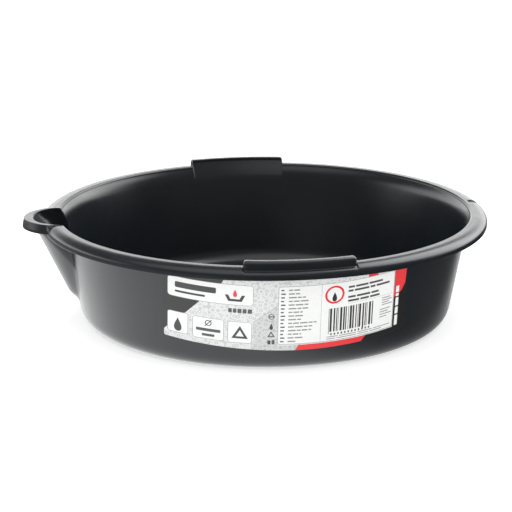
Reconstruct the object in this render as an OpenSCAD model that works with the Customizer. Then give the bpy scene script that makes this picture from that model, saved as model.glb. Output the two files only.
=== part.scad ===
// Oil drain pan: a round, shallow, one-piece moulded basin with a rolled rim,
// a pouring spout, two raised grips and a hang hole, and a printed film label.
//
// Frame: millimetres, +Z up, origin in the middle of the underside of the base.
// The spout points along -X, the hang hole is on +X, the grips are on +Y and -Y,
// and the label is on the -Y side.

/* [Bowl] */
// Height from the underside of the base to the top of the rim
pan_h = 90; // [86:1:100]
// Outside diameter of the rim
rim_d = 370; // [368:1:376]
// Diameter at which the outside of the wall would meet the ground
base_d = 307; // [300:1:310]
// Slope of the wall away from the vertical, in degrees
wall_draft = 10.8; // [10:0.1:11.2]
// Outside radius between the base and the wall
base_r = 15; // [8:1:20]
// Thickness of the base and the wall
wall_t = 2; // [1.6:0.1:2.4]

/* [Rim] */
// Radial width of the rolled rim
rim_w = 14.3; // [13.5:0.1:15]
// Thickness of the rolled rim
rim_t = 1.5; // [1.2:0.1:1.8]
// Depth of the rim's outer skirt below the top of the rim
rim_drop = 8.2; // [7:0.1:10]
// Radius of the roll on the inner side of the rim
roll_in = 2; // [2:0.1:3]
// Radius of the roll on the outer side of the rim
roll_out = 5.5; // [5:0.1:6]

/* [Grips] */
// How far the grips stand above the top of the rim
grip_rise = 5.3; // [4.5:0.1:7]
// Angle that each grip covers, in degrees
grip_span = 28; // [20:1:36]
// Thickness of the rounded bead along the top of a grip
bead_w = 6.5; // [6:0.1:7]

/* [Spout] */
// Reach of the spout from the centre of the pan, at the foot of its skirt
spout_reach = 201.3; // [198:0.1:204]
// Radius of the spout's lip in plan, at the foot of its skirt
lip_r = 33.2; // [31:0.1:35]
// Width of the flat lip at the tip of the spout
lip_w = 6; // [5:0.5:8]
// Slope of the spout's scoop away from the vertical, in degrees
scoop_draft = 25.3; // [24:0.1:26]
// Height of the scoop's lower end
scoop_foot = 24; // [20:1:30]

/* [Hang hole] */
// Diameter of the hang hole
hole_d = 9; // [6:0.5:9]

/* [Label] */
// Length of the label, measured straight across
label_l = 188; // [150:1:200]
// Height of the label along the wall
label_h = 62; // [50:1:64]
// Height of the label's lower edge above the base
label_z = 17.7; // [17:0.1:20]
// How far round the label is stuck from the middle of the -Y side, in degrees
label_turn = -1.8; // [-4:0.1:4]
// Thickness of the label film
label_t = 0.2; // [0.15:0.05:0.3]

/* [Hidden] */

$fn = 120;
pan_colour = "#26282b";
label_colour = "#dfe0e1";

rim_r = rim_d / 2;
base_rad = base_d / 2;
slope = tan(wall_draft);
lean = 1 / cos(wall_draft);          // horizontal thickness over true thickness
skirt_z = pan_h - rim_drop;          // lower edge of the rim's skirt
mouth_r = rim_r - rim_w;             // inner edge of the rim
gap_in_r = mouth_r + rim_t;          // inner face of the channel under the rim
roll_in_z = pan_h - roll_in;         // where the inner roll starts
roll_in_c = mouth_r + roll_in;       // radius of the inner roll's centre
roll_out_c = rim_r - roll_out;       // radius of the outer roll's centre
roll_out_z = pan_h - roll_out;
fillet_c = base_rad + slope * base_r - lean * base_r;

shoulder_z = pan_h - 9.8;            // the wall turns out to the rim here
join_z = shoulder_z - 1;             // the sections below meet the bowl here
wall_top_in = base_rad + slope * shoulder_z - lean * wall_t;

grip_top = pan_h + grip_rise;
grip_in_r = mouth_r + 3.6;           // inner face of the bead
grip_out_r = grip_in_r + bead_w;     // outer face of the bead
grip_leg_r = grip_out_r - rim_t;     // inner face of the leg under the bead
bead_r = 2.4;                        // rounding of the bead's edges
bead_h = 3;                          // height of the bead's inner face
relief_z = pan_h - 0.5;              // where the rim's top starts beside a grip
relief_r = 3.5;                      // rounding at the rim's outer edge there
relief_c = [rim_r - relief_r + 0.1, relief_z - 5.2];
relief_a = 22;                       // fall of the rim's top beside a grip
web_a = 0.4;                         // half the angle of a web at the end of a grip
grip_draft = 0.15;                   // the grips end this angle inside the relief

scoop_axis = 141;                    // the scoop is a cone on a vertical axis
scoop_r0 = 22.5;                     // radius of that cone at its lower end
lip_c = spout_reach - lip_r;         // centre of the lip in plan
lip_top = pan_h + 0.5;
lip_draft = 1.2;                     // how much narrower the lip is at its top
spout_in_r = 30;                     // radius of the opening in the lip
spout_in_c = spout_reach - lip_draft - lip_w - spout_in_r;
hole_x = rim_r - 6.2;
hole_pad_r = hole_d / 2 + 1.5;       // a shallow pad thickens the rim round the hole
hole_pad_t = 2.3;
tiny = 0.01;
reach = 20;                          // cutters run this far past what they cut

// Radius of the outside of the wall at a height, less a thickness.
function wall_r(z, inset = 0) = base_rad + slope * z - lean * inset;

// Half section of the bowl, all filled in up to a height.
module bowl_fill(inset = 0, top = join_z) {
    r = base_r - inset;
    touch = [fillet_c + r * cos(wall_draft), base_r - r * sin(wall_draft)];
    translate([fillet_c, base_r]) circle(r = r);
    polygon([[0, inset], [fillet_c, inset], touch, [wall_r(top, inset), top], [0, top]]);
}

// Half section of everything above a height.
module above(low) {
    translate([0, low]) square([rim_r + reach, grip_top + reach - low]);
}

// Half section of the rolled rim, all filled in down to a height.
module rim_fill(inset = 0, low = skirt_z) {
    intersection() {
        union() {
            translate([roll_in_c, roll_in_z]) circle(r = roll_in - inset);
            translate([roll_out_c, roll_out_z]) circle(r = roll_out - inset);
            translate([roll_in_c, low])
                square([roll_out_c - roll_in_c, pan_h - inset - low]);
            translate([mouth_r + inset, low])
                square([rim_w - 2 * inset, roll_out_z - low]);
            translate([mouth_r + inset, low])
                square([roll_in, roll_in_z - low]);
        }
        above(low);
    }
}

// Half section of the shoulder that carries the wall out to the rim, filled in.
module shoulder_fill() {
    polygon([[0, join_z], [wall_r(join_z), join_z], [gap_in_r, roll_in_z - 1.2],
             [gap_in_r, roll_in_z], [0, roll_in_z]]);
}

// Half section of the rim's top beside a grip, which is cut lower, all filled in.
module relief_fill(inset = 0, low = skirt_z) {
    r = relief_r - inset;
    tip = relief_c + r * [sin(relief_a), cos(relief_a)];
    intersection() {
        translate(relief_c) circle(r = r);
        above(low);
    }
    in_r = grip_leg_r - 1;
    polygon([[in_r, low], [relief_c[0] + r, low], [relief_c[0] + r, relief_c[1]],
             relief_c, tip, [in_r, tip[1] + (tip[0] - in_r) * tan(relief_a)]]);
}

// Half section of a grip: a lip with a rounded top, and the flare inside it.
module grip_section() {
    for (r = [grip_in_r + bead_r, grip_out_r - bead_r])
        translate([r, grip_top - bead_r]) circle(r = bead_r);
    translate([grip_in_r + bead_r, grip_top - bead_h])
        square([bead_w - 2 * bead_r, bead_h]);
    polygon([[grip_in_r, grip_top - bead_r], [grip_in_r, grip_top - bead_h],
             [wall_top_in + 1.1, shoulder_z + 1], [wall_top_in + 2.5, shoulder_z + 1.4],
             [grip_in_r, relief_z - 2], [grip_out_r, relief_z - 2], [grip_out_r, grip_top - bead_r]]);
}

// Half section of the hollow under a grip, open below.
module grip_hollow() {
    low = skirt_z - 1;
    roof_z = grip_top - 2;
    polygon([[gap_in_r, low], [grip_leg_r, low], [grip_leg_r, roof_z],
             [grip_in_r + 2.2, roof_z], [gap_in_r, relief_z - 4]]);
}

// Turns a half section about the axis from one angle to another.
module band(from, to) {
    rotate([0, 0, from]) rotate_extrude(angle = to - from) children();
}

// Turns a half section about the axis over both grips, plus a margin at each end.
module over_grips(margin = 0) {
    half = grip_span / 2 + margin;
    for (a = [-90, 90]) band(a - half, a + half) children();
}

// Everything inside the inner face of the wall and the rim.
module bowl_space() {
    rotate_extrude() {
        bowl_fill(wall_t, shoulder_z);
        polygon([[0, join_z], [wall_r(join_z, wall_t), join_z], [wall_top_in, shoulder_z],
                 [mouth_r, roll_in_z - 0.2], [mouth_r, lip_top + reach], [0, lip_top + reach]]);
    }
}

// The channel under the rim. Webs part it at the ends of each grip, and its
// roof is lower beside the grips.
module rim_channel() {
    difference() {
        rotate_extrude() rim_fill(rim_t, skirt_z - 1);
        over_grips(web_a) translate([mouth_r, skirt_z - reach]) square([reach, 2 * reach]);
        translate([hole_x, 0, pan_h - hole_pad_t]) cylinder(h = reach, r = hole_pad_r);
    }
    over_grips(-web_a) {
        relief_fill(rim_t, skirt_z - 1);
        grip_hollow();
    }
}

// What is cut away from the top of the rim beside the grips.
module grip_relief() {
    over_grips()
        difference() {
            translate([grip_out_r - rim_t / 2, relief_c[1]]) square([reach, reach]);
            relief_fill();
        }
}

// The bowl with its rim, before the spout and the hang hole.
module basin() {
    difference() {
        union() {
            difference() {
                rotate_extrude() {
                    bowl_fill();
                    shoulder_fill();
                    rim_fill();
                }
                bowl_space();
                grip_relief();
            }
            over_grips(-grip_draft) grip_section();
        }
        rim_channel();
    }
}

// The flat lip of the spout with its skirt, all filled in.
module lip_fill(inset = 0, low = skirt_z + 1) {
    taper = lip_draft / (lip_top - skirt_z - 1);
    translate([-lip_c, 0, low])
        cylinder(h = lip_top - inset - low,
                 r1 = lip_r - inset + taper * (skirt_z + 1 - low),
                 r2 = lip_r - inset - taper * (lip_top - inset - skirt_z - 1));
}

// The scoop under the lip, all filled in.
module scoop_fill(inset = 0) {
    foot = scoop_foot + inset;
    top = lip_top + (inset > 0 ? reach : -tiny);
    grow = tan(scoop_draft);
    intersection() {
        translate([-scoop_axis, 0, foot])
            cylinder(h = top - foot, r1 = scoop_r0 + grow * inset - inset / cos(scoop_draft),
                     r2 = scoop_r0 + grow * (top - scoop_foot) - inset / cos(scoop_draft));
        translate([-spout_in_c, 0, 0])
            cylinder(h = top, r = spout_in_r + wall_t - inset);
    }
}

module spout() {
    difference() {
        union() {
            lip_fill();
            scoop_fill();
        }
        difference() {
            lip_fill(rim_t, skirt_z - 1);
            scoop_fill();
            rotate_extrude() translate([0, skirt_z - 2]) square([mouth_r + rim_t, reach]);
        }
        scoop_fill(wall_t);
        bowl_space();
    }
}

module hang_hole() {
    translate([hole_x, 0, pan_h - 4]) cylinder(h = reach, d = hole_d);
}

module pan() {
    color(pan_colour) {
        difference() {
            basin();
            lip_fill();
            scoop_fill(wall_t);
            hang_hole();
        }
        spout();
    }
}

// A thin sleeve just outside the wall, cut to the outline of the label by a
// block that stands square to the wall, so it lies flat on the cone.
module label() {
    mid = label_z + label_h / 2 * cos(wall_draft);
    color(label_colour)
        rotate([0, 0, label_turn])
            intersection() {
                rotate_extrude()
                    polygon([[wall_r(base_r), base_r], [wall_r(base_r, -label_t), base_r],
                             [wall_r(skirt_z, -label_t), skirt_z], [wall_r(skirt_z), skirt_z]]);
                translate([0, -wall_r(mid), mid]) rotate([90 - wall_draft, 0, 0])
                    translate([-label_l / 2, -label_h / 2, -base_rad / 2])
                        cube([label_l, label_h, base_rad]);
            }
}

pan();
label();
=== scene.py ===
"""Oil drain pan: a one-piece black basin and its film label.

The basin has a rolled rim, a pouring spout, two raised grips and a hang hole. Its mesh is one closed
skin: a half section is worked out at every angle round the axis, and the sections are joined up.
"""

from math import atan2, cos, degrees, pi, radians, sin, sqrt, tan

import bmesh
import bpy
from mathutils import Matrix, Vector
from mathutils.geometry import delaunay_2d_cdt


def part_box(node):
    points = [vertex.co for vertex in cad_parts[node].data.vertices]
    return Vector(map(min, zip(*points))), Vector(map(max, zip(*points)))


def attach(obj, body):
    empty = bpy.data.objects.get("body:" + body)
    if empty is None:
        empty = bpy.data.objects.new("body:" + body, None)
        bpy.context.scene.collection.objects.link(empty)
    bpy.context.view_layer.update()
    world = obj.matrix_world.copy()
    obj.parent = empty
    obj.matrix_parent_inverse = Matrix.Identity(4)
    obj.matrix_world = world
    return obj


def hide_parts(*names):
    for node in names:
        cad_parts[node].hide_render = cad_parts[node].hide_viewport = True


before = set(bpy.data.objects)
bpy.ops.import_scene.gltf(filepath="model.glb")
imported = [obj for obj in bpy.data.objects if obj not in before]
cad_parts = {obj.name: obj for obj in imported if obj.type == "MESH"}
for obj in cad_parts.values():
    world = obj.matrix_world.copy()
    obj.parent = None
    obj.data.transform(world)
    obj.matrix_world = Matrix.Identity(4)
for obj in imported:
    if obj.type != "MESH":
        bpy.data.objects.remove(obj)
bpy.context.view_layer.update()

# Sizes are in millimetres and angles in degrees. Angle 0 is +X, and the spout is at 180.
MM = 0.001
PAN_LO, PAN_HI = [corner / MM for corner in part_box("pan")]

RIM_R = PAN_HI.y
GRIP_TOP = PAN_HI.z
SPOUT_REACH = -PAN_LO.x

# Bowl
PAN_H = 90.0
BASE_R = 153.5
DRAFT = radians(10.8)
SLOPE = tan(DRAFT)
WALL_T = 2.0
FILLET = 15.0
FILLET_C = BASE_R + SLOPE * FILLET - FILLET / cos(DRAFT)
BASE_RINGS = (50.0, 100.0)
JOIN_Z = 79.2       # the outside of the wall turns out to the rim here
SHOULDER_Z = 78.5   # and the inside here

# Rolled rim
RIM_T = 1.5
MOUTH_R = RIM_R - 14.3
SKIRT_Z = PAN_H - 8.2
ROLL_IN = 2.0
ROLL_OUT = 5.5
ROLL_IN_C = (MOUTH_R + ROLL_IN, PAN_H - ROLL_IN)
ROLL_OUT_C = (RIM_R - ROLL_OUT, PAN_H - ROLL_OUT)
CROWN_R = ROLL_IN_C[0] + 3.8    # the rim's top falls away outside this radius
FOOT_R = 0.4
BEND_Z = ROLL_IN_C[1] - 1.2
FLARE_BEND = (MOUTH_R - 3.3, 83.6)

# Grips
GRIP_SPAN = 28.0
GRIP_IN_R = MOUTH_R + 3.6
GRIP_OUT_R = GRIP_IN_R + 6.5
BEAD_R = 2.4
BEAD_IN_R = 1.0
BEAD_FOOT = GRIP_TOP - 3.0
NOOK_R = 0.8
HOLLOW_TOP = GRIP_TOP - 2.0
RELIEF_TOP = PAN_H - 0.5
RELIEF_R = 3.5
RELIEF_C = (RIM_R - RELIEF_R, RELIEF_TOP - 5.2)
RELIEF_FALL = radians(22.0)
GRIP_BEND = (MOUTH_R - 2.3, 82.8)
WEB = 0.4           # half the angle of the web at a grip's end, in degrees

# Spout
LIP_TOP = PAN_H + 0.5
LIP_R = 33.2
LIP_C = SPOUT_REACH - LIP_R
LIP_DRAFT = 1.2
LIP_FOOT = SKIRT_Z + 1.0
SCOOP_AXIS = 141.0
SCOOP_R0 = 22.5
SCOOP_Z0 = 24.0
SCOOP_GROW = tan(radians(25.3))
SCOOP_FOOT_R = 16.9
SCOOP_FOOT_Z = 22.6
SCOOP_FOOT_GROW = 2.5
OPEN_R = 30.0
OPEN_C = SPOUT_REACH - LIP_DRAFT - 6.0 - OPEN_R
LIP_EDGE = 0.6
SPOUT_HALF = 16.0           # nothing of the spout lies further than this from its middle, in degrees
SPOUT_BLEND = (8.9, 10.4)   # the lip turns into the plain rim between these

# Hang hole
HOLE_R = 4.5
HOLE_X = RIM_R - 6.2

# Points of each stretch of the rim's half section, in order
UNDER_N = 4
ROOF_N = 12
FOOT_N = 8
OUTER_N = 10
TOP_N = 9
INNER_N = 12


# ---------------------------------------------------------------- small helpers

def lerp(a, b, t):
    return a + (b - a) * t


def smooth(t):
    t = min(max(t, 0.0), 1.0)
    return t * t * (3.0 - 2.0 * t)


def soft_max(a, b, k):
    """The larger of two values, with a rounded change from one to the other."""
    h = max(k - abs(a - b), 0.0)
    return max(a, b) + h * h / (4.0 * k)


def soft_min(a, b, k):
    return -soft_max(-a, -b, k)


def line(p, q, n, first=True):
    """Points from p to q in n equal steps."""
    start = 0 if first else 1
    return [(lerp(p[0], q[0], i / n), lerp(p[1], q[1], i / n)) for i in range(start, n + 1)]


def arc(centre, r, a0, a1, n, first=True):
    """Points on an arc of a half section, from angle a0 to a1 in degrees."""
    start = 0 if first else 1
    points = []
    for i in range(start, n + 1):
        a = radians(lerp(a0, a1, i / n))
        points.append((centre[0] + r * cos(a), centre[1] + r * sin(a)))
    return points


def curve(p, bend, q, n, first=True):
    """Points from p to q on a curve that leans towards a third point."""
    start = 0 if first else 1
    points = []
    for i in range(start, n + 1):
        t = i / n
        points.append(tuple(lerp(lerp(a, b, t), lerp(b, c, t), t) for a, b, c in zip(p, bend, q)))
    return points


def circle_reach(centre, r, angle):
    """Distance from the pan's axis to the far side of a circle whose centre is off the axis."""
    side = centre * sin(angle)
    rest = r * r - side * side
    if rest >= 0.0:
        return centre * cos(angle) + sqrt(rest)
    return centre * cos(angle) - 4.0 * sqrt(-rest)


# ---------------------------------------------------------------- pan mesh

def wall_r(z, inset=0.0):
    return BASE_R + SLOPE * z - inset / cos(DRAFT)


def scoop_r(z, angle, inset=0.0):
    """Outside of the scoop at a height, as a distance from the pan's axis."""
    cone = SCOOP_R0 + SCOOP_GROW * (z - SCOOP_Z0) - 1.1 * inset
    foot = SCOOP_FOOT_R + SCOOP_FOOT_GROW * (z - SCOOP_FOOT_Z) - 1.5 * inset
    tapered = circle_reach(SCOOP_AXIS, max(soft_min(cone, foot, 2.0), 0.5), angle)
    sides = circle_reach(OPEN_C, OPEN_R + WALL_T - inset, angle)
    return soft_min(tapered, sides, 2.0)


def shell_r(z, angle, base, inset=0.0):
    """The wall or the scoop, whichever stands further out."""
    if abs(angle) > radians(SPOUT_HALF):
        return base
    return soft_max(base, scoop_r(z, angle, inset), 2.0 if inset else 3.0)


def skirt_foot(r, z):
    """The rounded lower edge of a skirt whose outer face is at radius r."""
    return (arc((r - RIM_T + FOOT_R, z), FOOT_R, 180, 270, 3)
            + arc((r - FOOT_R, z), FOOT_R, 270, 360, 3))


def plain_rim():
    """Half section of the rolled rim, from under the shoulder round to the inside of the wall."""
    under = line((wall_r(JOIN_Z), JOIN_Z), (MOUTH_R + RIM_T, BEND_Z), 3)
    roof = arc(ROLL_IN_C, ROLL_IN - RIM_T, 180, 90, 5) + arc(ROLL_OUT_C, ROLL_OUT - RIM_T, 90, 0, 5)
    foot = skirt_foot(RIM_R, SKIRT_Z + FOOT_R)
    outer = []
    for i in range(OUTER_N):
        a = radians(10 * i)
        outer.append((CROWN_R + (RIM_R - CROWN_R) * cos(a), ROLL_OUT_C[1] + ROLL_OUT * sin(a)))
    top = line(outer[-1], (ROLL_IN_C[0], PAN_H), 9, False)
    inner = arc(ROLL_IN_C, ROLL_IN, 90, 180, 12, False)
    mouth = curve(inner[-1], FLARE_BEND, (wall_r(SHOULDER_Z, WALL_T), SHOULDER_Z), 5, False)
    return under + roof + foot + outer + top + inner + mouth


def relief_z(r):
    """Height of the rim's top beside a grip."""
    tip = (RELIEF_C[0] + RELIEF_R * sin(RELIEF_FALL), RELIEF_C[1] + RELIEF_R * cos(RELIEF_FALL))
    return tip[1] + (tip[0] - r) * tan(RELIEF_FALL)


def grip_rim():
    """Half section through a grip, with as many points as the plain rim has."""
    shoulder = (wall_r(SHOULDER_Z, WALL_T), SHOULDER_Z)
    under = line((wall_r(JOIN_Z), JOIN_Z), (MOUTH_R + RIM_T, BEND_Z), 3)
    leg_r = GRIP_OUT_R - RIM_T
    leg_foot = relief_z(leg_r)
    fall = 90 - degrees(RELIEF_FALL)
    roof = line((MOUTH_R + RIM_T, RELIEF_TOP - 4.0), (GRIP_IN_R + 2.2, HOLLOW_TOP), 2)
    roof += [(leg_r, HOLLOW_TOP), (leg_r, lerp(HOLLOW_TOP, leg_foot, 0.5)), (leg_r, leg_foot - RIM_T)]
    roof += arc(RELIEF_C, RELIEF_R - RIM_T, fall, 0, 5)
    foot = skirt_foot(RIM_R, SKIRT_Z + FOOT_R)
    outer = arc(RELIEF_C, RELIEF_R, 0, fall, 9)
    nook = (GRIP_OUT_R + NOOK_R, relief_z(GRIP_OUT_R + NOOK_R))
    top = line(outer[-1], nook, 3, False)
    top += arc((nook[0], nook[1] + NOOK_R), NOOK_R, 255, 180, 3, False)
    top += line(top[-1], (GRIP_OUT_R, GRIP_TOP - BEAD_R), 3, False)
    inner = arc((GRIP_OUT_R - BEAD_R, GRIP_TOP - BEAD_R), BEAD_R, 0, 90, 5, False)
    inner += arc((GRIP_IN_R + BEAD_IN_R, GRIP_TOP - BEAD_IN_R), BEAD_IN_R, 90, 180, 5)
    inner += [(GRIP_IN_R, BEAD_FOOT + 0.5)]
    mouth = curve((GRIP_IN_R - 0.15, BEAD_FOOT), GRIP_BEND, shoulder, 4)
    return under + roof + foot + outer + top + inner + mouth


def spout_rim(angle):
    """Half section through the spout's lip, with as many points as the plain rim has."""
    lip = max(circle_reach(LIP_C, LIP_R, angle), RIM_R)
    lip_top = max(circle_reach(LIP_C, LIP_R - LIP_DRAFT, angle), RIM_R - 0.4)

    def outside(z, base):
        return shell_r(z, angle, base)

    roof_z = LIP_TOP - RIM_T
    wall_top = (wall_r(JOIN_Z), JOIN_Z)
    under = [(outside(z, r), z) for r, z in line(wall_top, (MOUTH_R + RIM_T, BEND_Z), 3)]
    roof = [(outside(z, MOUTH_R + RIM_T), z) for z in (87.0, 87.4, 87.8, 88.2, 88.6)]
    roof += line((outside(roof_z, MOUTH_R + RIM_T) + 0.3, roof_z), (lip_top - RIM_T - 0.3, roof_z), 3)
    roof += line((lip_top - RIM_T, roof_z - 0.4), (lip - RIM_T, LIP_FOOT + 1.0), 3)
    foot_z = LIP_FOOT + FOOT_R
    foot = skirt_foot(lip, foot_z)
    edge_z = LIP_TOP - LIP_EDGE
    outer = line((lip, foot_z + 1.0), (lip_top, edge_z), 4)
    outer += arc((lip_top - LIP_EDGE, edge_z), LIP_EDGE, 0, 90, 5, False)
    mouth_r = MOUTH_R + 0.5

    def inside(z):
        return shell_r(z, angle, mouth_r, WALL_T)

    edge_r = inside(LIP_TOP) + LIP_EDGE
    top = line(outer[-1], (edge_r, LIP_TOP), 9, False)
    inner = arc((edge_r, edge_z), LIP_EDGE, 90, 180, 5, False)
    levels = [lerp(edge_z, ROLL_IN_C[1], (i + 1) / 7) for i in range(7)]
    inner += [(inside(z), z) for z in levels]
    wall_foot = (wall_r(SHOULDER_Z, WALL_T), SHOULDER_Z)
    shoulder = curve((MOUTH_R, ROLL_IN_C[1]), FLARE_BEND, wall_foot, 5, False)
    mouth = [(shell_r(z, angle, r, WALL_T), z) for r, z in shoulder]
    return under + roof + foot + outer + top + inner + mouth


PLAIN_RIM = plain_rim()
GRIP_RIM = grip_rim()
FOOT_END = UNDER_N + ROOF_N + FOOT_N
INNER_END = FOOT_END + OUTER_N + TOP_N + INNER_N


def mix_rims(rim_a, rim_b, weights):
    return [(lerp(p[0], q[0], w), lerp(p[1], q[1], w)) for p, q, w in zip(rim_a, rim_b, weights)]


def grip_rise(s):
    """Share of a grip's height at s mm inside its end: a steep drafted end with a rounded corner."""
    foot, run, corner = -0.3, 0.7, 2.0
    total = GRIP_TOP - RELIEF_TOP
    if s <= foot:
        return 0.0
    if s <= foot + run:
        return (total - corner) / total * (s - foot) / run
    t = min((s - foot - run) / corner, 1.0)
    return (total - corner + corner * sqrt(1.0 - (1.0 - t) ** 2)) / total


def relief_depth(s):
    """Share of the recess beside a grip at s mm inside its end, with rounded lower corners."""
    t = min(max((s - 0.2) / 3.2, 0.0), 1.0)
    return sqrt(1.0 - (1.0 - t) ** 2)


def rim_at(angle):
    """Half section of the rim at an angle from +X, in degrees."""
    from_spout = abs((angle % 360.0) - 180.0)
    if from_spout < SPOUT_HALF:
        turn = radians(from_spout)
        w = 1.0 - smooth((from_spout - SPOUT_BLEND[0]) / (SPOUT_BLEND[1] - SPOUT_BLEND[0]))
        plain = list(PLAIN_RIM)
        for i in range(UNDER_N):
            r, z = plain[i]
            plain[i] = (shell_r(z, turn, r), z)
        for i in range(INNER_END, len(plain)):
            r, z = plain[i]
            plain[i] = (shell_r(z, turn, r, WALL_T), z)
        return mix_rims(plain, spout_rim(turn), [w] * len(plain))
    from_grip = min(abs((angle % 360.0) - 90.0), abs((angle % 360.0) - 270.0))
    s = radians(GRIP_SPAN / 2 - from_grip) * GRIP_OUT_R
    if s < -3.0:
        return PLAIN_RIM
    outer, bead = relief_depth(s), grip_rise(s)
    below = 1.0 if s > 0.0 else 0.0
    weights = [below] * FOOT_END + [outer] * OUTER_N
    weights += [lerp(outer, bead, (i + 1) / 3) for i in range(3)]
    weights += [bead] * (len(PLAIN_RIM) - len(weights))
    rim = mix_rims(PLAIN_RIM, GRIP_RIM, weights)
    if abs(GRIP_SPAN / 2 - from_grip) < WEB:
        for i in range(UNDER_N, UNDER_N + ROOF_N):
            rim[i] = (rim[i][0], SKIRT_Z + 0.3)
    return rim


def pan_section(angle):
    """Closed half section of the pan at an angle, without the two points on the axis."""
    turn = radians(angle - 180.0)
    turn = abs(atan2(sin(turn), cos(turn)))
    touch = degrees(DRAFT)
    levels = 22
    low = FILLET * (1.0 - sin(DRAFT))
    base = [(r, 0.0) for r in (*BASE_RINGS, FILLET_C)]
    base += arc((FILLET_C, FILLET), FILLET, 270, 360 - touch, 7, False)
    heights = [lerp(low, JOIN_Z, i / levels) for i in range(1, levels)]
    outside = [(shell_r(z, turn, wall_r(z)), z) for z in heights]
    low_in = FILLET - (FILLET - WALL_T) * sin(DRAFT)
    heights = [lerp(SHOULDER_Z, low_in, i / levels) for i in range(1, levels)]
    inside = [(shell_r(z, turn, wall_r(z, WALL_T), WALL_T), z) for z in heights]
    floor = arc((FILLET_C, FILLET), FILLET - WALL_T, 360 - touch, 270, 7)
    floor += [(r, WALL_T) for r in reversed(BASE_RINGS)]
    return base + outside + rim_at(angle) + inside + floor


def column_angles():
    """Angles of the mesh's columns: even, with close ones at the spout and the ends of the grips."""
    step = 0.9
    spout_half = 12.3
    found = set()
    for i in range(int(360 / step)):
        found.add(round(i * step, 4))
    ends = [side + sign * GRIP_SPAN / 2 for side in (90, 270) for sign in (-1, 1)]
    found = {a for a in found if abs(a - 180.0) > spout_half + 0.3}
    found = {a for a in found if min(abs(a - e) for e in ends) > 1.6}
    n = 70
    for i in range(-n, n + 1):
        share = i / n
        found.add(round(180.0 + spout_half * (0.45 * share + 0.55 * sin(share * pi / 2)), 4))
    depths = (-2.2, -1.2, -0.5, -0.3, 0.0, 0.2, 0.4, 0.55, 0.8, 1.2, 1.7, 2.4, 3.4, 4.4)
    for side in (90, 270):
        for sign in (-1, 1):
            for s in depths:
                found.add(round(side + sign * (GRIP_SPAN / 2 - degrees(s / GRIP_OUT_R)), 4))
    return sorted(found)


def make_pan():
    mesh = bpy.data.meshes.new("pan_body")
    bm = bmesh.new()
    angles = column_angles()
    columns = []
    for angle in angles:
        c, s = cos(radians(angle)), sin(radians(angle))
        columns.append([bm.verts.new((r * c * MM, r * s * MM, z * MM)) for r, z in pan_section(angle)])
    under = bm.verts.new((0.0, 0.0, 0.0))
    floor = bm.verts.new((0.0, 0.0, WALL_T * MM))
    rows = len(columns[0])
    for i, column in enumerate(columns):
        after = columns[(i + 1) % len(columns)]
        for j in range(rows - 1):
            bm.faces.new((column[j], after[j], after[j + 1], column[j + 1]))
        bm.faces.new((under, after[0], column[0]))
        bm.faces.new((floor, column[-1], after[-1]))
    bmesh.ops.remove_doubles(bm, verts=bm.verts, dist=0.002 * MM)
    bmesh.ops.recalc_face_normals(bm, faces=bm.faces)
    for face in bm.faces:
        face.smooth = True
    bm.to_mesh(mesh)
    bm.free()
    pan = bpy.data.objects.new("pan_body", mesh)
    bpy.context.scene.collection.objects.link(pan)
    return pan


def apply_modifiers(piece):
    graph = bpy.context.evaluated_depsgraph_get()
    mesh = bpy.data.meshes.new_from_object(piece.evaluated_get(graph))
    piece.modifiers.clear()
    piece.data = mesh


def cut_hang_hole(pan):
    bm = bmesh.new()
    bmesh.ops.create_cone(bm, cap_ends=True, segments=64, radius1=HOLE_R * MM, radius2=HOLE_R * MM,
                          depth=12 * MM)
    bmesh.ops.translate(bm, verts=bm.verts, vec=(HOLE_X * MM, 0.0, (PAN_H + 2.0) * MM))
    mesh = bpy.data.meshes.new("hole_cutter")
    bm.to_mesh(mesh)
    bm.free()
    cutter = bpy.data.objects.new("hole_cutter", mesh)
    bpy.context.scene.collection.objects.link(cutter)
    cut = pan.modifiers.new("hang_hole", "BOOLEAN")
    cut.operation = "DIFFERENCE"
    cut.solver = "EXACT"
    cut.object = cutter
    apply_modifiers(pan)
    bpy.data.objects.remove(cutter)


def shade(piece, limit=38.0):
    """Smooth shading with sharp edges kept, and normals that favour the larger faces."""
    bm = bmesh.new()
    bm.from_mesh(piece.data)
    for edge in bm.edges:
        edge.smooth = len(edge.link_faces) == 2 and edge.calc_face_angle(0.0) < radians(limit)
    for face in bm.faces:
        face.smooth = True
    bm.to_mesh(piece.data)
    bm.free()
    weighted = piece.modifiers.new("normals", "WEIGHTED_NORMAL")
    weighted.keep_sharp = True
    weighted.weight = 80


# ---------------------------------------------------------------- label mesh

LABEL_L = 188.0
LABEL_H = 62.0
LABEL_Z = 17.7
LABEL_TURN = radians(-1.8)
FILM_T = 0.2
LABEL_MID_Z = LABEL_Z + LABEL_H / 2 * cos(DRAFT)
LABEL_MID_R = wall_r(LABEL_MID_Z)

INKS = ["film_black", "film_pattern", "film_shade", "film_white", "ink_dark", "ink_grey", "ink_mid",
        "ink_red", "ink_line"]


def on_wall(u, v, lift):
    """A point of the flat label, u across and v up from its middle, laid on the wall."""
    out = LABEL_MID_R + v * sin(DRAFT)
    cone = BASE_R + lift / cos(DRAFT) + SLOPE * (LABEL_MID_Z + v * cos(DRAFT))
    a = cos(DRAFT) ** 2 - (SLOPE * sin(DRAFT)) ** 2
    b = out * cos(DRAFT) + cone * SLOPE * sin(DRAFT)
    c = out * out + u * u - cone * cone
    k = (-b + sqrt(b * b - a * c)) / a
    y = -out - k * cos(DRAFT)
    z = LABEL_MID_Z + v * cos(DRAFT) - k * sin(DRAFT)
    ct, st = cos(LABEL_TURN), sin(LABEL_TURN)
    return Vector((u * ct - y * st, u * st + y * ct, z)) * MM


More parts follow.
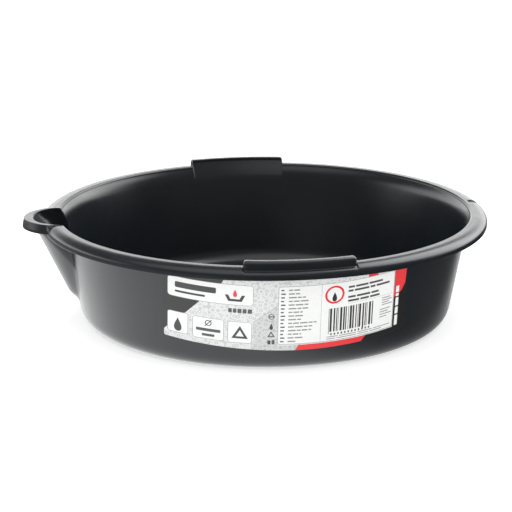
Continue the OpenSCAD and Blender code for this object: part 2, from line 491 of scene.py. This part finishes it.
def box_outline(u0, v0, u1, v1, r=0.0, steps=4):
    """A rectangle with rounded corners."""
    if r == 0.0:
        return [(u0, v0), (u1, v0), (u1, v1), (u0, v1)]
    points = []
    corners = ((u0 + r, v0 + r), (u1 - r, v0 + r), (u1 - r, v1 - r), (u0 + r, v1 - r))
    for corner, a in zip(corners, (180, 270, 0, 90)):
        points += arc(corner, r, a, a + 90, steps)
    return points


def ring_outline(cu, cv, r, n=28):
    return [(cu + r * cos(2 * pi * i / n), cv + r * sin(2 * pi * i / n)) for i in range(n)]


def framed_box(shapes, u0, v0, u1, v1, r=2.0, rule=0.35):
    shapes.append((box_outline(u0, v0, u1, v1, r), "ink_line"))
    shapes.append((box_outline(u0 + rule, v0 + rule, u1 - rule, v1 - rule, r - rule), "film_white"))


def text_rows(shapes, u0, v_top, widths, pitch, h, ink="ink_grey"):
    """Short bars that stand for lines of small print."""
    for i, width in enumerate(widths):
        v = v_top - i * pitch
        u = u0
        for part in width:
            if part > 0:
                shapes.append((box_outline(u, v - h, u + part, v), ink))
            u += abs(part)


def drop_outline(cu, cv, r, steps=18):
    """An oil drop: a round bottom that narrows to a point at the top."""
    points = []
    for i in range(steps):
        a = 2 * pi * i / steps
        pinch = sin(a / 2) ** 1.5
        points.append((cu + r * sin(a) * pinch, cv - r * cos(a + pi) * 1.5 - 0.35 * r))
    return points


def triangle_outline(cu, cv, r):
    return [(cu + r * cos(radians(a)), cv + r * sin(radians(a))) for a in (90, 210, 330)]


def add_ring(shapes, cu, cv, r, stroke, ink, inside="film_white"):
    shapes.append((ring_outline(cu, cv, r), ink))
    shapes.append((ring_outline(cu, cv, r - stroke), inside))


def slanted_bar(cu, cv, length, width, angle):
    """A straight stroke at an angle."""
    c, s = cos(radians(angle)), sin(radians(angle))
    corners = ((-1, -1), (1, -1), (1, 1), (-1, 1))
    return [(cu + (i * length * c - j * width * s) / 2, cv + (i * length * s + j * width * c) / 2)
            for i, j in corners]


def add_title_box(shapes):
    """The large white box: a plain pictogram of a drop over a basin, beside two bars."""
    framed_box(shapes, -91.4, 7.4, -28.3, 24.8, 2.5)
    shapes.append((box_outline(-86.0, 15.6, -56.0, 20.6, 1.0), "ink_dark"))
    shapes.append((box_outline(-86.0, 11.4, -64.0, 13.2, 0.6), "ink_dark"))
    basin = [(-49.5, 16.0), (-47.0, 10.6), (-37.0, 10.6), (-34.5, 16.0), (-37.0, 16.0), (-38.6, 12.6),
             (-45.4, 12.6), (-47.0, 16.0)]
    shapes.append((basin, "ink_dark"))
    shapes.append((drop_outline(-42.0, 18.4, 2.2), "ink_red"))


def add_small_boxes(shapes):
    """The three white boxes in a row: a drop, a diameter sign over two bars, and a triangle."""
    framed_box(shapes, -91.4, -24.0, -76.2, -5.6)
    shapes.append((drop_outline(-83.8, -15.2, 4.0), "ink_dark"))
    framed_box(shapes, -73.0, -24.7, -49.8, -6.1)
    add_ring(shapes, -61.4, -10.6, 2.5, 0.7, "ink_dark")
    shapes.append((slanted_bar(-61.4, -10.6, 7.4, 0.7, 50), "ink_dark"))
    shapes.append((box_outline(-70.4, -18.0, -52.4, -15.4, 0.4), "ink_grey"))
    shapes.append((box_outline(-66.0, -22.2, -56.8, -20.0, 0.4), "ink_grey"))
    framed_box(shapes, -47.1, -25.0, -29.0, -6.6)
    shapes.append((triangle_outline(-38.0, -17.4, 7.2), "ink_dark"))
    shapes.append((triangle_outline(-38.0, -17.4, 3.6), "film_white"))


def add_side_icons(shapes):
    """Four small signs, one above the other."""
    u = -14.5
    add_ring(shapes, u, -1.2, 2.4, 0.6, "ink_grey", "film_shade")
    shapes.append((box_outline(u - 2.2, -1.7, u + 2.2, -0.7), "ink_grey"))
    shapes.append((drop_outline(u, -8.9, 1.9), "ink_dark"))
    shapes.append((triangle_outline(u, -17.0, 3.4), "ink_grey"))
    shapes.append((triangle_outline(u, -17.0, 1.6), "film_shade"))
    shapes.append((box_outline(u - 2.6, -25.0, u - 0.2, -21.6, 0.5), "ink_dark"))
    shapes.append((box_outline(u + 0.5, -25.0, u + 2.8, -21.2, 0.5), "ink_grey"))


def add_list(shapes):
    """Fifteen rows of greyed-out small print in two columns."""
    lengths = (8.4, 8.4, 13.0, 16.0, 16.0, 15.5, 11.0, 11.6, 11.6, 22.0, 18.7, 18.0, 10.3, 12.3, 6.5)
    pitch, h = 3.14, 1.15
    for i, length in enumerate(lengths):
        v = 21.8 - i * pitch
        code = 2.2 + 1.2 * ((i * 5) % 3) / 2
        shapes.append((box_outline(-7.6, v - h, -7.6 + code, v), "ink_grey"))
        u, word = -1.8, 0
        while u < length - 1.8 - 1.0:
            part = min(3.0 + 1.5 * ((i + word) % 3), length - 1.8 - u)
            shapes.append((box_outline(u, v - h, u + part, v), "ink_mid"))
            u += part + 0.8
            word += 1


def add_bars(shapes):
    """A block of plain upright bars, with a row of short marks under it."""
    u, i = 29.6, 0
    while u < 65.0:
        width = 0.45 + 0.4 * ((i * 7) % 4)
        low = -19.4 if i in (0, 14) else -17.4
        shapes.append((box_outline(u, low, min(u + width, 65.6), 2.8), "ink_dark"))
        u += width + 0.55 + 0.35 * ((i * 5) % 3)
        i += 1
    for i in range(12):
        shapes.append((box_outline(31.4 + 2.8 * i, -20.4, 32.6 + 2.8 * i, -18.6), "ink_grey"))


def add_notes(shapes):
    """The ring sign with a drop, and the greyed-out print round it."""
    add_ring(shapes, 33.8, 14.4, 7.7, 1.7, "ink_red")
    shapes.append((drop_outline(33.8, 13.6, 2.7), "ink_dark"))
    text_rows(shapes, 44.6, 19.9, [(5.0, -1.0, 10.0, -1.0, 11.0), (4.0, -1.0, 12.0, -1.0, 4.0, -1.0, 11.0)],
              3.3, 1.7)
    text_rows(shapes, 44.6, 11.4, [(6.0, -1.0, 11.0, -1.0, 6.0), (9.0, -1.0, 7.0, -1.0, 8.0)], 3.3, 1.7)
    shapes.append((box_outline(44.6, 5.0, 82.0, 5.2), "ink_line"))
    text_rows(shapes, 73.0, 3.2, [(7.0,), (8.4,), (6.2,), (8.8,)], 2.0, 0.8, "ink_mid")
    text_rows(shapes, 71.6, -6.6, [(8.6,), (7.0,), (9.8,), (6.0,)], 2.2, 0.8, "ink_mid")
    text_rows(shapes, 28.6, -21.3, [(9, -1, 14, -1, 12, -1, 14), (7, -1, 16, -1, 9, -1, 10)], 1.7, 0.7,
              "ink_mid")


def label_shapes():
    """The printed areas of the label, from the bottom layer to the top one."""
    half_u, half_v = LABEL_L / 2, LABEL_H / 2
    shapes = [(box_outline(-half_u, -half_v, half_u, half_v, 2.0), "film_black")]
    light = [(-93.8, -28.0), (-93.0, -28.8), (4.2, -30.5), (6.8, -26.0), (83.2, -26.0), (83.2, half_v),
             (-49.0, half_v), (-52.0, 25.2), (-52.0, 10.0), (-67.8, 7.6), (-78.7, -5.4), (-91.3, -7.5),
             (-91.3, -20.0), (-93.8, -23.4)]
    shapes.append((light, "film_pattern"))
    shade = [(-10.0, 8.6), (-28.4, -6.6), (-28.4, -29.8), (4.2, -30.3), (6.8, -26.0), (-9.0, -26.0)]
    shapes.append((shade, "film_shade"))
    shapes.append(([(-28.4, -6.8), (-28.4, -6.4), (-10.0, 8.8), (-10.0, 8.4)], "ink_line"))
    add_title_box(shapes)
    text_rows(shapes, -46.8, 4.6, [(2.6, -0.8, 2.6, -0.8, 3.0, -0.8, 3.0, -0.8, 3.2)], 4.0, 3.6)
    add_small_boxes(shapes)
    add_side_icons(shapes)
    shapes.append((box_outline(60.6, 24.0, 68.6, half_v), "ink_red"))
    framed_box(shapes, -9.6, -25.2, 83.0, 24.4, 2.2)
    shapes.append((box_outline(23.4, -25.0, 23.65, 24.2), "ink_line"))
    add_list(shapes)
    add_notes(shapes)
    add_bars(shapes)
    shapes.append(([(4.4, -30.6), (56.8, -30.6), (60.6, -26.0), (7.0, -26.0)], "ink_red"))
    shapes.append(([(83.4, half_v), (83.4, 0.4), (89.6, 4.3), (92.8, 10.4), (93.6, half_v - 2.0),
                    (91.6, half_v)], "ink_red"))
    for v, h in ((9.4, 5.4), (2.8, 2.4), (-0.8, 7.2), (-9.2, 6.0), (-16.4, 9.0)):
        shapes.append((box_outline(84.9, v - h, 87.5, v), "film_white"))
    return shapes


def holds(outline, u, v):
    """Whether a point lies inside an outline."""
    inside = False
    for (u0, v0), (u1, v1) in zip(outline, outline[1:] + outline[:1]):
        if (v0 > v) != (v1 > v) and u < u0 + (v - v0) * (u1 - u0) / (v1 - v0):
            inside = not inside
    return inside


def ink_at(shapes, boxes, u, v):
    """The ink of the topmost shape over a point, or None off the label."""
    for (outline, ink), (u0, v0, u1, v1) in zip(reversed(shapes), reversed(boxes)):
        if u0 <= u <= u1 and v0 <= v <= v1 and holds(outline, u, v):
            return ink
    return None


def flat_label(shapes):
    """Cuts the flat label into triangles along every printed edge and along a grid for the bend."""
    points, edges = [], []
    for outline, _ in shapes:
        start, n = len(points), len(outline)
        points += [Vector(p) for p in outline]
        edges += [(start + i, start + (i + 1) % n) for i in range(n)]
    half_u, half_v = LABEL_L / 2, LABEL_H / 2
    columns, rows = 47, 4
    for i in range(1, columns):
        u = lerp(-half_u, half_u, i / columns)
        points += [Vector((u, -half_v)), Vector((u, half_v))]
        edges.append((len(points) - 2, len(points) - 1))
    for i in range(1, rows):
        v = lerp(-half_v, half_v, i / rows)
        points += [Vector((-half_u, v)), Vector((half_u, v))]
        edges.append((len(points) - 2, len(points) - 1))
    flat, _, tris, _, _, _ = delaunay_2d_cdt(points, edges, [], 0, 1e-4)
    return flat, tris


def make_label():
    shapes = label_shapes()
    boxes = []
    for outline, _ in shapes:
        us, vs = [p[0] for p in outline], [p[1] for p in outline]
        boxes.append((min(us), min(vs), max(us), max(vs)))
    flat, tris = flat_label(shapes)
    bm = bmesh.new()
    uv = bm.loops.layers.uv.new("flat")
    upper = [bm.verts.new(on_wall(p.x, p.y, FILM_T)) for p in flat]
    lower = [bm.verts.new(on_wall(p.x, p.y, 0.02)) for p in flat]
    border = set()
    for tri in tris:
        middle = sum((flat[i] for i in tri), Vector((0.0, 0.0))) / 3.0
        ink = ink_at(shapes, boxes, middle.x, middle.y)
        if ink is None:
            continue
        top = bm.faces.new([upper[i] for i in tri])
        bm.faces.new([lower[i] for i in reversed(tri)])
        top.material_index = INKS.index(ink)
        for loop, i in zip(top.loops, tri):
            loop[uv].uv = flat[i] / 100.0
        for a, b in zip(tri, list(tri[1:]) + list(tri[:1])):
            if (b, a) in border:
                border.remove((b, a))
            else:
                border.add((a, b))
    for a, b in sorted(border):
        bm.faces.new((upper[b], upper[a], lower[a], lower[b]))
    loose = [v for v in bm.verts if not v.link_faces]
    bmesh.ops.delete(bm, geom=loose, context="VERTS")
    mesh = bpy.data.meshes.new("label_film")
    bm.to_mesh(mesh)
    bm.free()
    label = bpy.data.objects.new("label_film", mesh)
    bpy.context.scene.collection.objects.link(label)
    return label


# ---------------------------------------------------------------- materials

def new_material(name):
    material = bpy.data.materials.new(name)
    material.use_nodes = True
    nodes = material.node_tree.nodes
    nodes.clear()
    shader = nodes.new("ShaderNodeBsdfPrincipled")
    output = nodes.new("ShaderNodeOutputMaterial")
    material.node_tree.links.new(shader.outputs["BSDF"], output.inputs["Surface"])
    return material, nodes, material.node_tree.links, shader


def noise(nodes, links, source, scale, detail=3.0, rough=0.55):
    texture = nodes.new("ShaderNodeTexNoise")
    texture.inputs["Scale"].default_value = scale
    texture.inputs["Detail"].default_value = detail
    texture.inputs["Roughness"].default_value = rough
    links.new(source, texture.inputs["Vector"])
    return texture.outputs["Fac"]


def spread(nodes, links, value, low, high):
    """Maps a 0 to 1 value onto a range."""
    node = nodes.new("ShaderNodeMapRange")
    node.inputs["To Min"].default_value = low
    node.inputs["To Max"].default_value = high
    links.new(value, node.inputs["Value"])
    return node.outputs["Result"]


def ramp(nodes, links, value, stops):
    node = nodes.new("ShaderNodeValToRGB")
    elements = node.color_ramp.elements
    while len(elements) < len(stops):
        elements.new(0.5)
    for element, (at, colour) in zip(elements, stops):
        element.position = at
        element.color = colour
    links.new(value, node.inputs["Fac"])
    return node.outputs["Color"]


def bump(nodes, links, height, strength, distance, normal=None):
    node = nodes.new("ShaderNodeBump")
    node.inputs["Strength"].default_value = strength
    node.inputs["Distance"].default_value = distance
    links.new(height, node.inputs["Height"])
    if normal is not None:
        links.new(normal, node.inputs["Normal"])
    return node.outputs["Normal"]


def combine(nodes, links, a, b, operation="ADD"):
    node = nodes.new("ShaderNodeMath")
    node.operation = operation
    links.new(a, node.inputs[0])
    links.new(b, node.inputs[1])
    return node.outputs["Value"]


def black_plastic():
    """Black polypropylene: satin, with a very fine grain and faint flow marks."""
    material, nodes, links, shader = new_material("black_polypropylene")
    place = nodes.new("ShaderNodeTexCoord").outputs["Object"]
    grain = noise(nodes, links, place, 2600.0, 2.0)
    flow = noise(nodes, links, place, 14.0, 3.0)
    haze = noise(nodes, links, place, 160.0, 4.0)
    stops = [(0.3, (0.0078, 0.0104, 0.0130, 1)), (0.7, (0.0112, 0.0142, 0.0170, 1))]
    colour = ramp(nodes, links, flow, stops)
    links.new(colour, shader.inputs["Base Color"])
    links.new(spread(nodes, links, haze, 0.20, 0.28), shader.inputs["Roughness"])
    broad = bump(nodes, links, flow, 0.10, 0.004)
    links.new(bump(nodes, links, grain, 0.10, 0.00006, broad), shader.inputs["Normal"])
    shader.inputs["IOR"].default_value = 1.5
    return material


def film_ink(name, colour, roughness=0.32):
    material, nodes, links, shader = new_material(name)
    place = nodes.new("ShaderNodeTexCoord").outputs["Object"]
    fleck = noise(nodes, links, place, 900.0, 2.0)
    dark = tuple(0.93 * c for c in colour) + (1,)
    links.new(ramp(nodes, links, fleck, [(0.35, dark), (0.65, colour + (1,))]), shader.inputs["Base Color"])
    links.new(spread(nodes, links, fleck, roughness - 0.04, roughness + 0.04), shader.inputs["Roughness"])
    links.new(bump(nodes, links, fleck, 0.08, 0.00005), shader.inputs["Normal"])
    return material


def patterned_film(name, light, dark):
    """Printed film with a scatter of small ring-shaped marks."""
    material, nodes, links, shader = new_material(name)
    flat = nodes.new("ShaderNodeUVMap")
    flat.uv_map = "flat"
    cells = nodes.new("ShaderNodeTexVoronoi")
    cells.inputs["Scale"].default_value = 25.0
    cells.inputs["Randomness"].default_value = 0.55
    links.new(flat.outputs["UV"], cells.inputs["Vector"])
    light, dark = light + (1,), dark + (1,)
    marks = [(0.0, light), (0.16, light), (0.24, dark), (0.34, dark), (0.42, light), (0.60, light),
             (0.72, dark)]
    links.new(ramp(nodes, links, cells.outputs["Distance"], marks), shader.inputs["Base Color"])
    place = nodes.new("ShaderNodeTexCoord").outputs["Object"]
    fleck = noise(nodes, links, place, 900.0, 2.0)
    links.new(spread(nodes, links, fleck, 0.28, 0.36), shader.inputs["Roughness"])
    links.new(bump(nodes, links, fleck, 0.08, 0.00005), shader.inputs["Normal"])
    return material


def label_materials():
    made = {
        "film_black": film_ink("film_black", (0.014, 0.014, 0.015), 0.3),
        "film_pattern": patterned_film("film_pattern", (0.66, 0.67, 0.67), (0.50, 0.51, 0.51)),
        "film_shade": patterned_film("film_shade", (0.56, 0.57, 0.57), (0.42, 0.43, 0.43)),
        "film_white": film_ink("film_white", (0.80, 0.81, 0.80)),
        "ink_dark": film_ink("ink_dark", (0.035, 0.035, 0.036)),
        "ink_grey": film_ink("ink_grey", (0.07, 0.07, 0.07)),
        "ink_mid": film_ink("ink_mid", (0.25, 0.25, 0.25)),
        "ink_red": film_ink("ink_red", (0.76, 0.028, 0.035)),
        "ink_line": film_ink("ink_line", (0.26, 0.26, 0.26)),
    }
    return [made[name] for name in INKS]


# ---------------------------------------------------------------- stage, light and camera

# What the gloss reflects. The floor's bright part lies on one side of a line and close to the pan.
# Each glow in the surroundings has a direction, a strength, and the cosines between which it rises.

FLOOR_LIT_DIR = (-0.7725, 0.635, 0.0)
FLOOR_LIT_FROM = -0.185
FLOOR_LIT_TO = -0.085
FLOOR_DIM = 0.10
FLOOR_BRIGHT = 1.8
FLOOR_FADE = (0.30, 0.44)
FLOOR_FAR = 0.15
FLOOR_EMISSION = 0.55
WORLD_DIM = 0.2
ALL_ROUND = (-3.0, -2.0)
HORIZON_GLOW = 2.3
HORIZON_LIMITS = (-0.42, -0.26)
BEHIND_LIMITS = (-0.35, 0.35)
ABOVE = (-0.2, -0.2, 0.95)
ABOVE_GLOW = 1.1
ABOVE_LIMITS = (0.72, 0.98)
RIGHT = (0.66, 0.32, 0.68)
RIGHT_GLOW = 5.0
RIGHT_LIMITS = (0.78, 0.98)


def floor_material():
    """White to the eye. In reflections it is bright only beside the pan, at the left and the back."""
    material, nodes, links, shader = new_material("floor_white")
    place = nodes.new("ShaderNodeTexCoord").outputs["Object"]
    cloud = noise(nodes, links, place, 2.0)
    tone = ramp(nodes, links, cloud, [(0.3, (0.90, 0.90, 0.90, 1)), (0.7, (0.92, 0.92, 0.92, 1))])
    links.new(tone, shader.inputs["Base Color"])
    shader.inputs["Roughness"].default_value = 1.0
    shader.inputs["Specular IOR Level"].default_value = 0.0
    shader.inputs["Emission Color"].default_value = (1, 1, 1, 1)
    shader.inputs["Emission Strength"].default_value = FLOOR_EMISSION
    along = nodes.new("ShaderNodeVectorMath")
    along.operation = "DOT_PRODUCT"
    along.inputs[1].default_value = FLOOR_LIT_DIR
    links.new(place, along.inputs[0])
    lit = nodes.new("ShaderNodeMapRange")
    lit.interpolation_type = "SMOOTHSTEP"
    lit.inputs["From Min"].default_value = FLOOR_LIT_FROM
    lit.inputs["From Max"].default_value = FLOOR_LIT_TO
    lit.inputs["To Min"].default_value = FLOOR_DIM
    lit.inputs["To Max"].default_value = FLOOR_BRIGHT
    links.new(along.outputs["Value"], lit.inputs["Value"])
    away = nodes.new("ShaderNodeVectorMath")
    away.operation = "LENGTH"
    links.new(place, away.inputs[0])
    fade = nodes.new("ShaderNodeMapRange")
    fade.interpolation_type = "SMOOTHSTEP"
    fade.inputs["From Min"].default_value = FLOOR_FADE[0]
    fade.inputs["From Max"].default_value = FLOOR_FADE[1]
    fade.inputs["To Min"].default_value = 1.0
    fade.inputs["To Max"].default_value = FLOOR_FAR
    links.new(away.outputs["Value"], fade.inputs["Value"])
    mirrored = nodes.new("ShaderNodeEmission")
    links.new(combine(nodes, links, lit.outputs["Result"], fade.outputs["Result"], "MULTIPLY"),
              mirrored.inputs["Strength"])
    path = nodes.new("ShaderNodeLightPath")
    mix = nodes.new("ShaderNodeMixShader")
    links.new(path.outputs["Is Glossy Ray"], mix.inputs["Fac"])
    links.new(shader.outputs["BSDF"], mix.inputs[1])
    links.new(mirrored.outputs["Emission"], mix.inputs[2])
    output = [n for n in nodes if n.type == "OUTPUT_MATERIAL"][0]
    links.new(mix.outputs["Shader"], output.inputs["Surface"])
    material.cycles.emission_sampling = "NONE"
    return material


def make_floor():
    bm = bmesh.new()
    bmesh.ops.create_circle(bm, cap_ends=True, segments=96, radius=9.0)
    mesh = bpy.data.meshes.new("floor")
    bm.to_mesh(mesh)
    bm.free()
    floor = bpy.data.objects.new("floor", mesh)
    bpy.context.scene.collection.objects.link(floor)
    floor.data.materials.append(floor_material())


def make_top_box():
    """A soft box above, which lights the label and leaves no mirror image."""
    place = Vector((-0.35, 0.1, 1.6))
    light = bpy.data.lights.new("top_box", "AREA")
    light.shape = "RECTANGLE"
    light.size = 1.0
    light.size_y = 0.8
    light.energy = 8
    lamp = bpy.data.objects.new("top_box", light)
    lamp.location = place
    lamp.rotation_euler = (-place).to_track_quat("-Z", "Y").to_euler()
    lamp.visible_camera = False
    lamp.visible_glossy = False
    bpy.context.scene.collection.objects.link(lamp)


def toward(nodes, links, direction, limits, amount):
    """A smooth patch of glow round a direction. limits are the cosines where it starts and is full."""
    place = nodes.new("ShaderNodeTexCoord").outputs["Generated"]
    along = nodes.new("ShaderNodeVectorMath")
    along.operation = "DOT_PRODUCT"
    along.inputs[1].default_value = Vector(direction).normalized()
    links.new(place, along.inputs[0])
    patch = nodes.new("ShaderNodeMapRange")
    patch.interpolation_type = "SMOOTHSTEP"
    patch.inputs["From Min"].default_value = limits[0]
    patch.inputs["From Max"].default_value = limits[1]
    patch.inputs["To Max"].default_value = amount
    links.new(along.outputs["Value"], patch.inputs["Value"])
    return patch.outputs["Result"]


def make_world():
    """White all round for the eye and for diffuse light. In reflections it is a soft studio: a glow
    low down behind and at the sides, a faint light above, and a brighter one above the right."""
    world = bpy.data.worlds.new("studio")
    world.use_nodes = True
    world.cycles.sampling_method = "NONE"
    bpy.context.scene.world = world
    nodes, links = world.node_tree.nodes, world.node_tree.links
    nodes.clear()
    low = toward(nodes, links, (0, 0, -1), HORIZON_LIMITS, HORIZON_GLOW)
    behind = toward(nodes, links, (0, 1, 0), BEHIND_LIMITS, 1.0)
    glow = combine(nodes, links, low, behind, "MULTIPLY")
    glow = combine(nodes, links, glow, toward(nodes, links, ABOVE, ABOVE_LIMITS, ABOVE_GLOW))
    glow = combine(nodes, links, glow, toward(nodes, links, RIGHT, RIGHT_LIMITS, RIGHT_GLOW))
    base = toward(nodes, links, (0, 0, 1), ALL_ROUND, WORLD_DIM)
    glow = combine(nodes, links, glow, base)
    path = nodes.new("ShaderNodeLightPath")
    white = nodes.new("ShaderNodeBackground")
    white.inputs["Color"].default_value = (1, 1, 1, 1)
    dim = nodes.new("ShaderNodeBackground")
    dim.inputs["Color"].default_value = (1, 1, 1, 1)
    links.new(glow, dim.inputs["Strength"])
    mix = nodes.new("ShaderNodeMixShader")
    output = nodes.new("ShaderNodeOutputWorld")
    links.new(path.outputs["Is Glossy Ray"], mix.inputs["Fac"])
    links.new(white.outputs["Background"], mix.inputs[1])
    links.new(dim.outputs["Background"], mix.inputs[2])
    links.new(mix.outputs["Shader"], output.inputs["Surface"])


def make_camera():
    """A long lens in front of the label side, a little to the left of the middle."""
    distance, elevation, azimuth = 1.50096, radians(15.90), radians(-8.7)
    target = Vector((0.0, 0.0, 0.045))
    data = bpy.data.cameras.new("camera")
    data.sensor_width = 36.0
    data.lens = 125.1
    data.shift_x = -0.0172
    data.shift_y = 0.0089
    camera = bpy.data.objects.new("camera", data)
    flat = cos(elevation) * distance
    camera.location = target + Vector((flat * sin(azimuth), -flat * cos(azimuth), sin(elevation) * distance))
    look = (target - camera.location).to_track_quat("-Z", "Y")
    camera.rotation_euler = look.to_euler()
    bpy.context.scene.collection.objects.link(camera)
    bpy.context.scene.camera = camera


def make_studio():
    make_world()
    make_floor()
    make_top_box()
    bpy.context.scene.view_settings.view_transform = "Standard"


# ---------------------------------------------------------------- assembly

make_camera()
make_studio()

pan = make_pan()
cut_hang_hole(pan)
shade(pan)
pan.data.materials.append(black_plastic())
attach(pan, "root")
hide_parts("pan")

label = make_label()
for ink in label_materials():
    label.data.materials.append(ink)
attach(label, "root")
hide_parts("label")
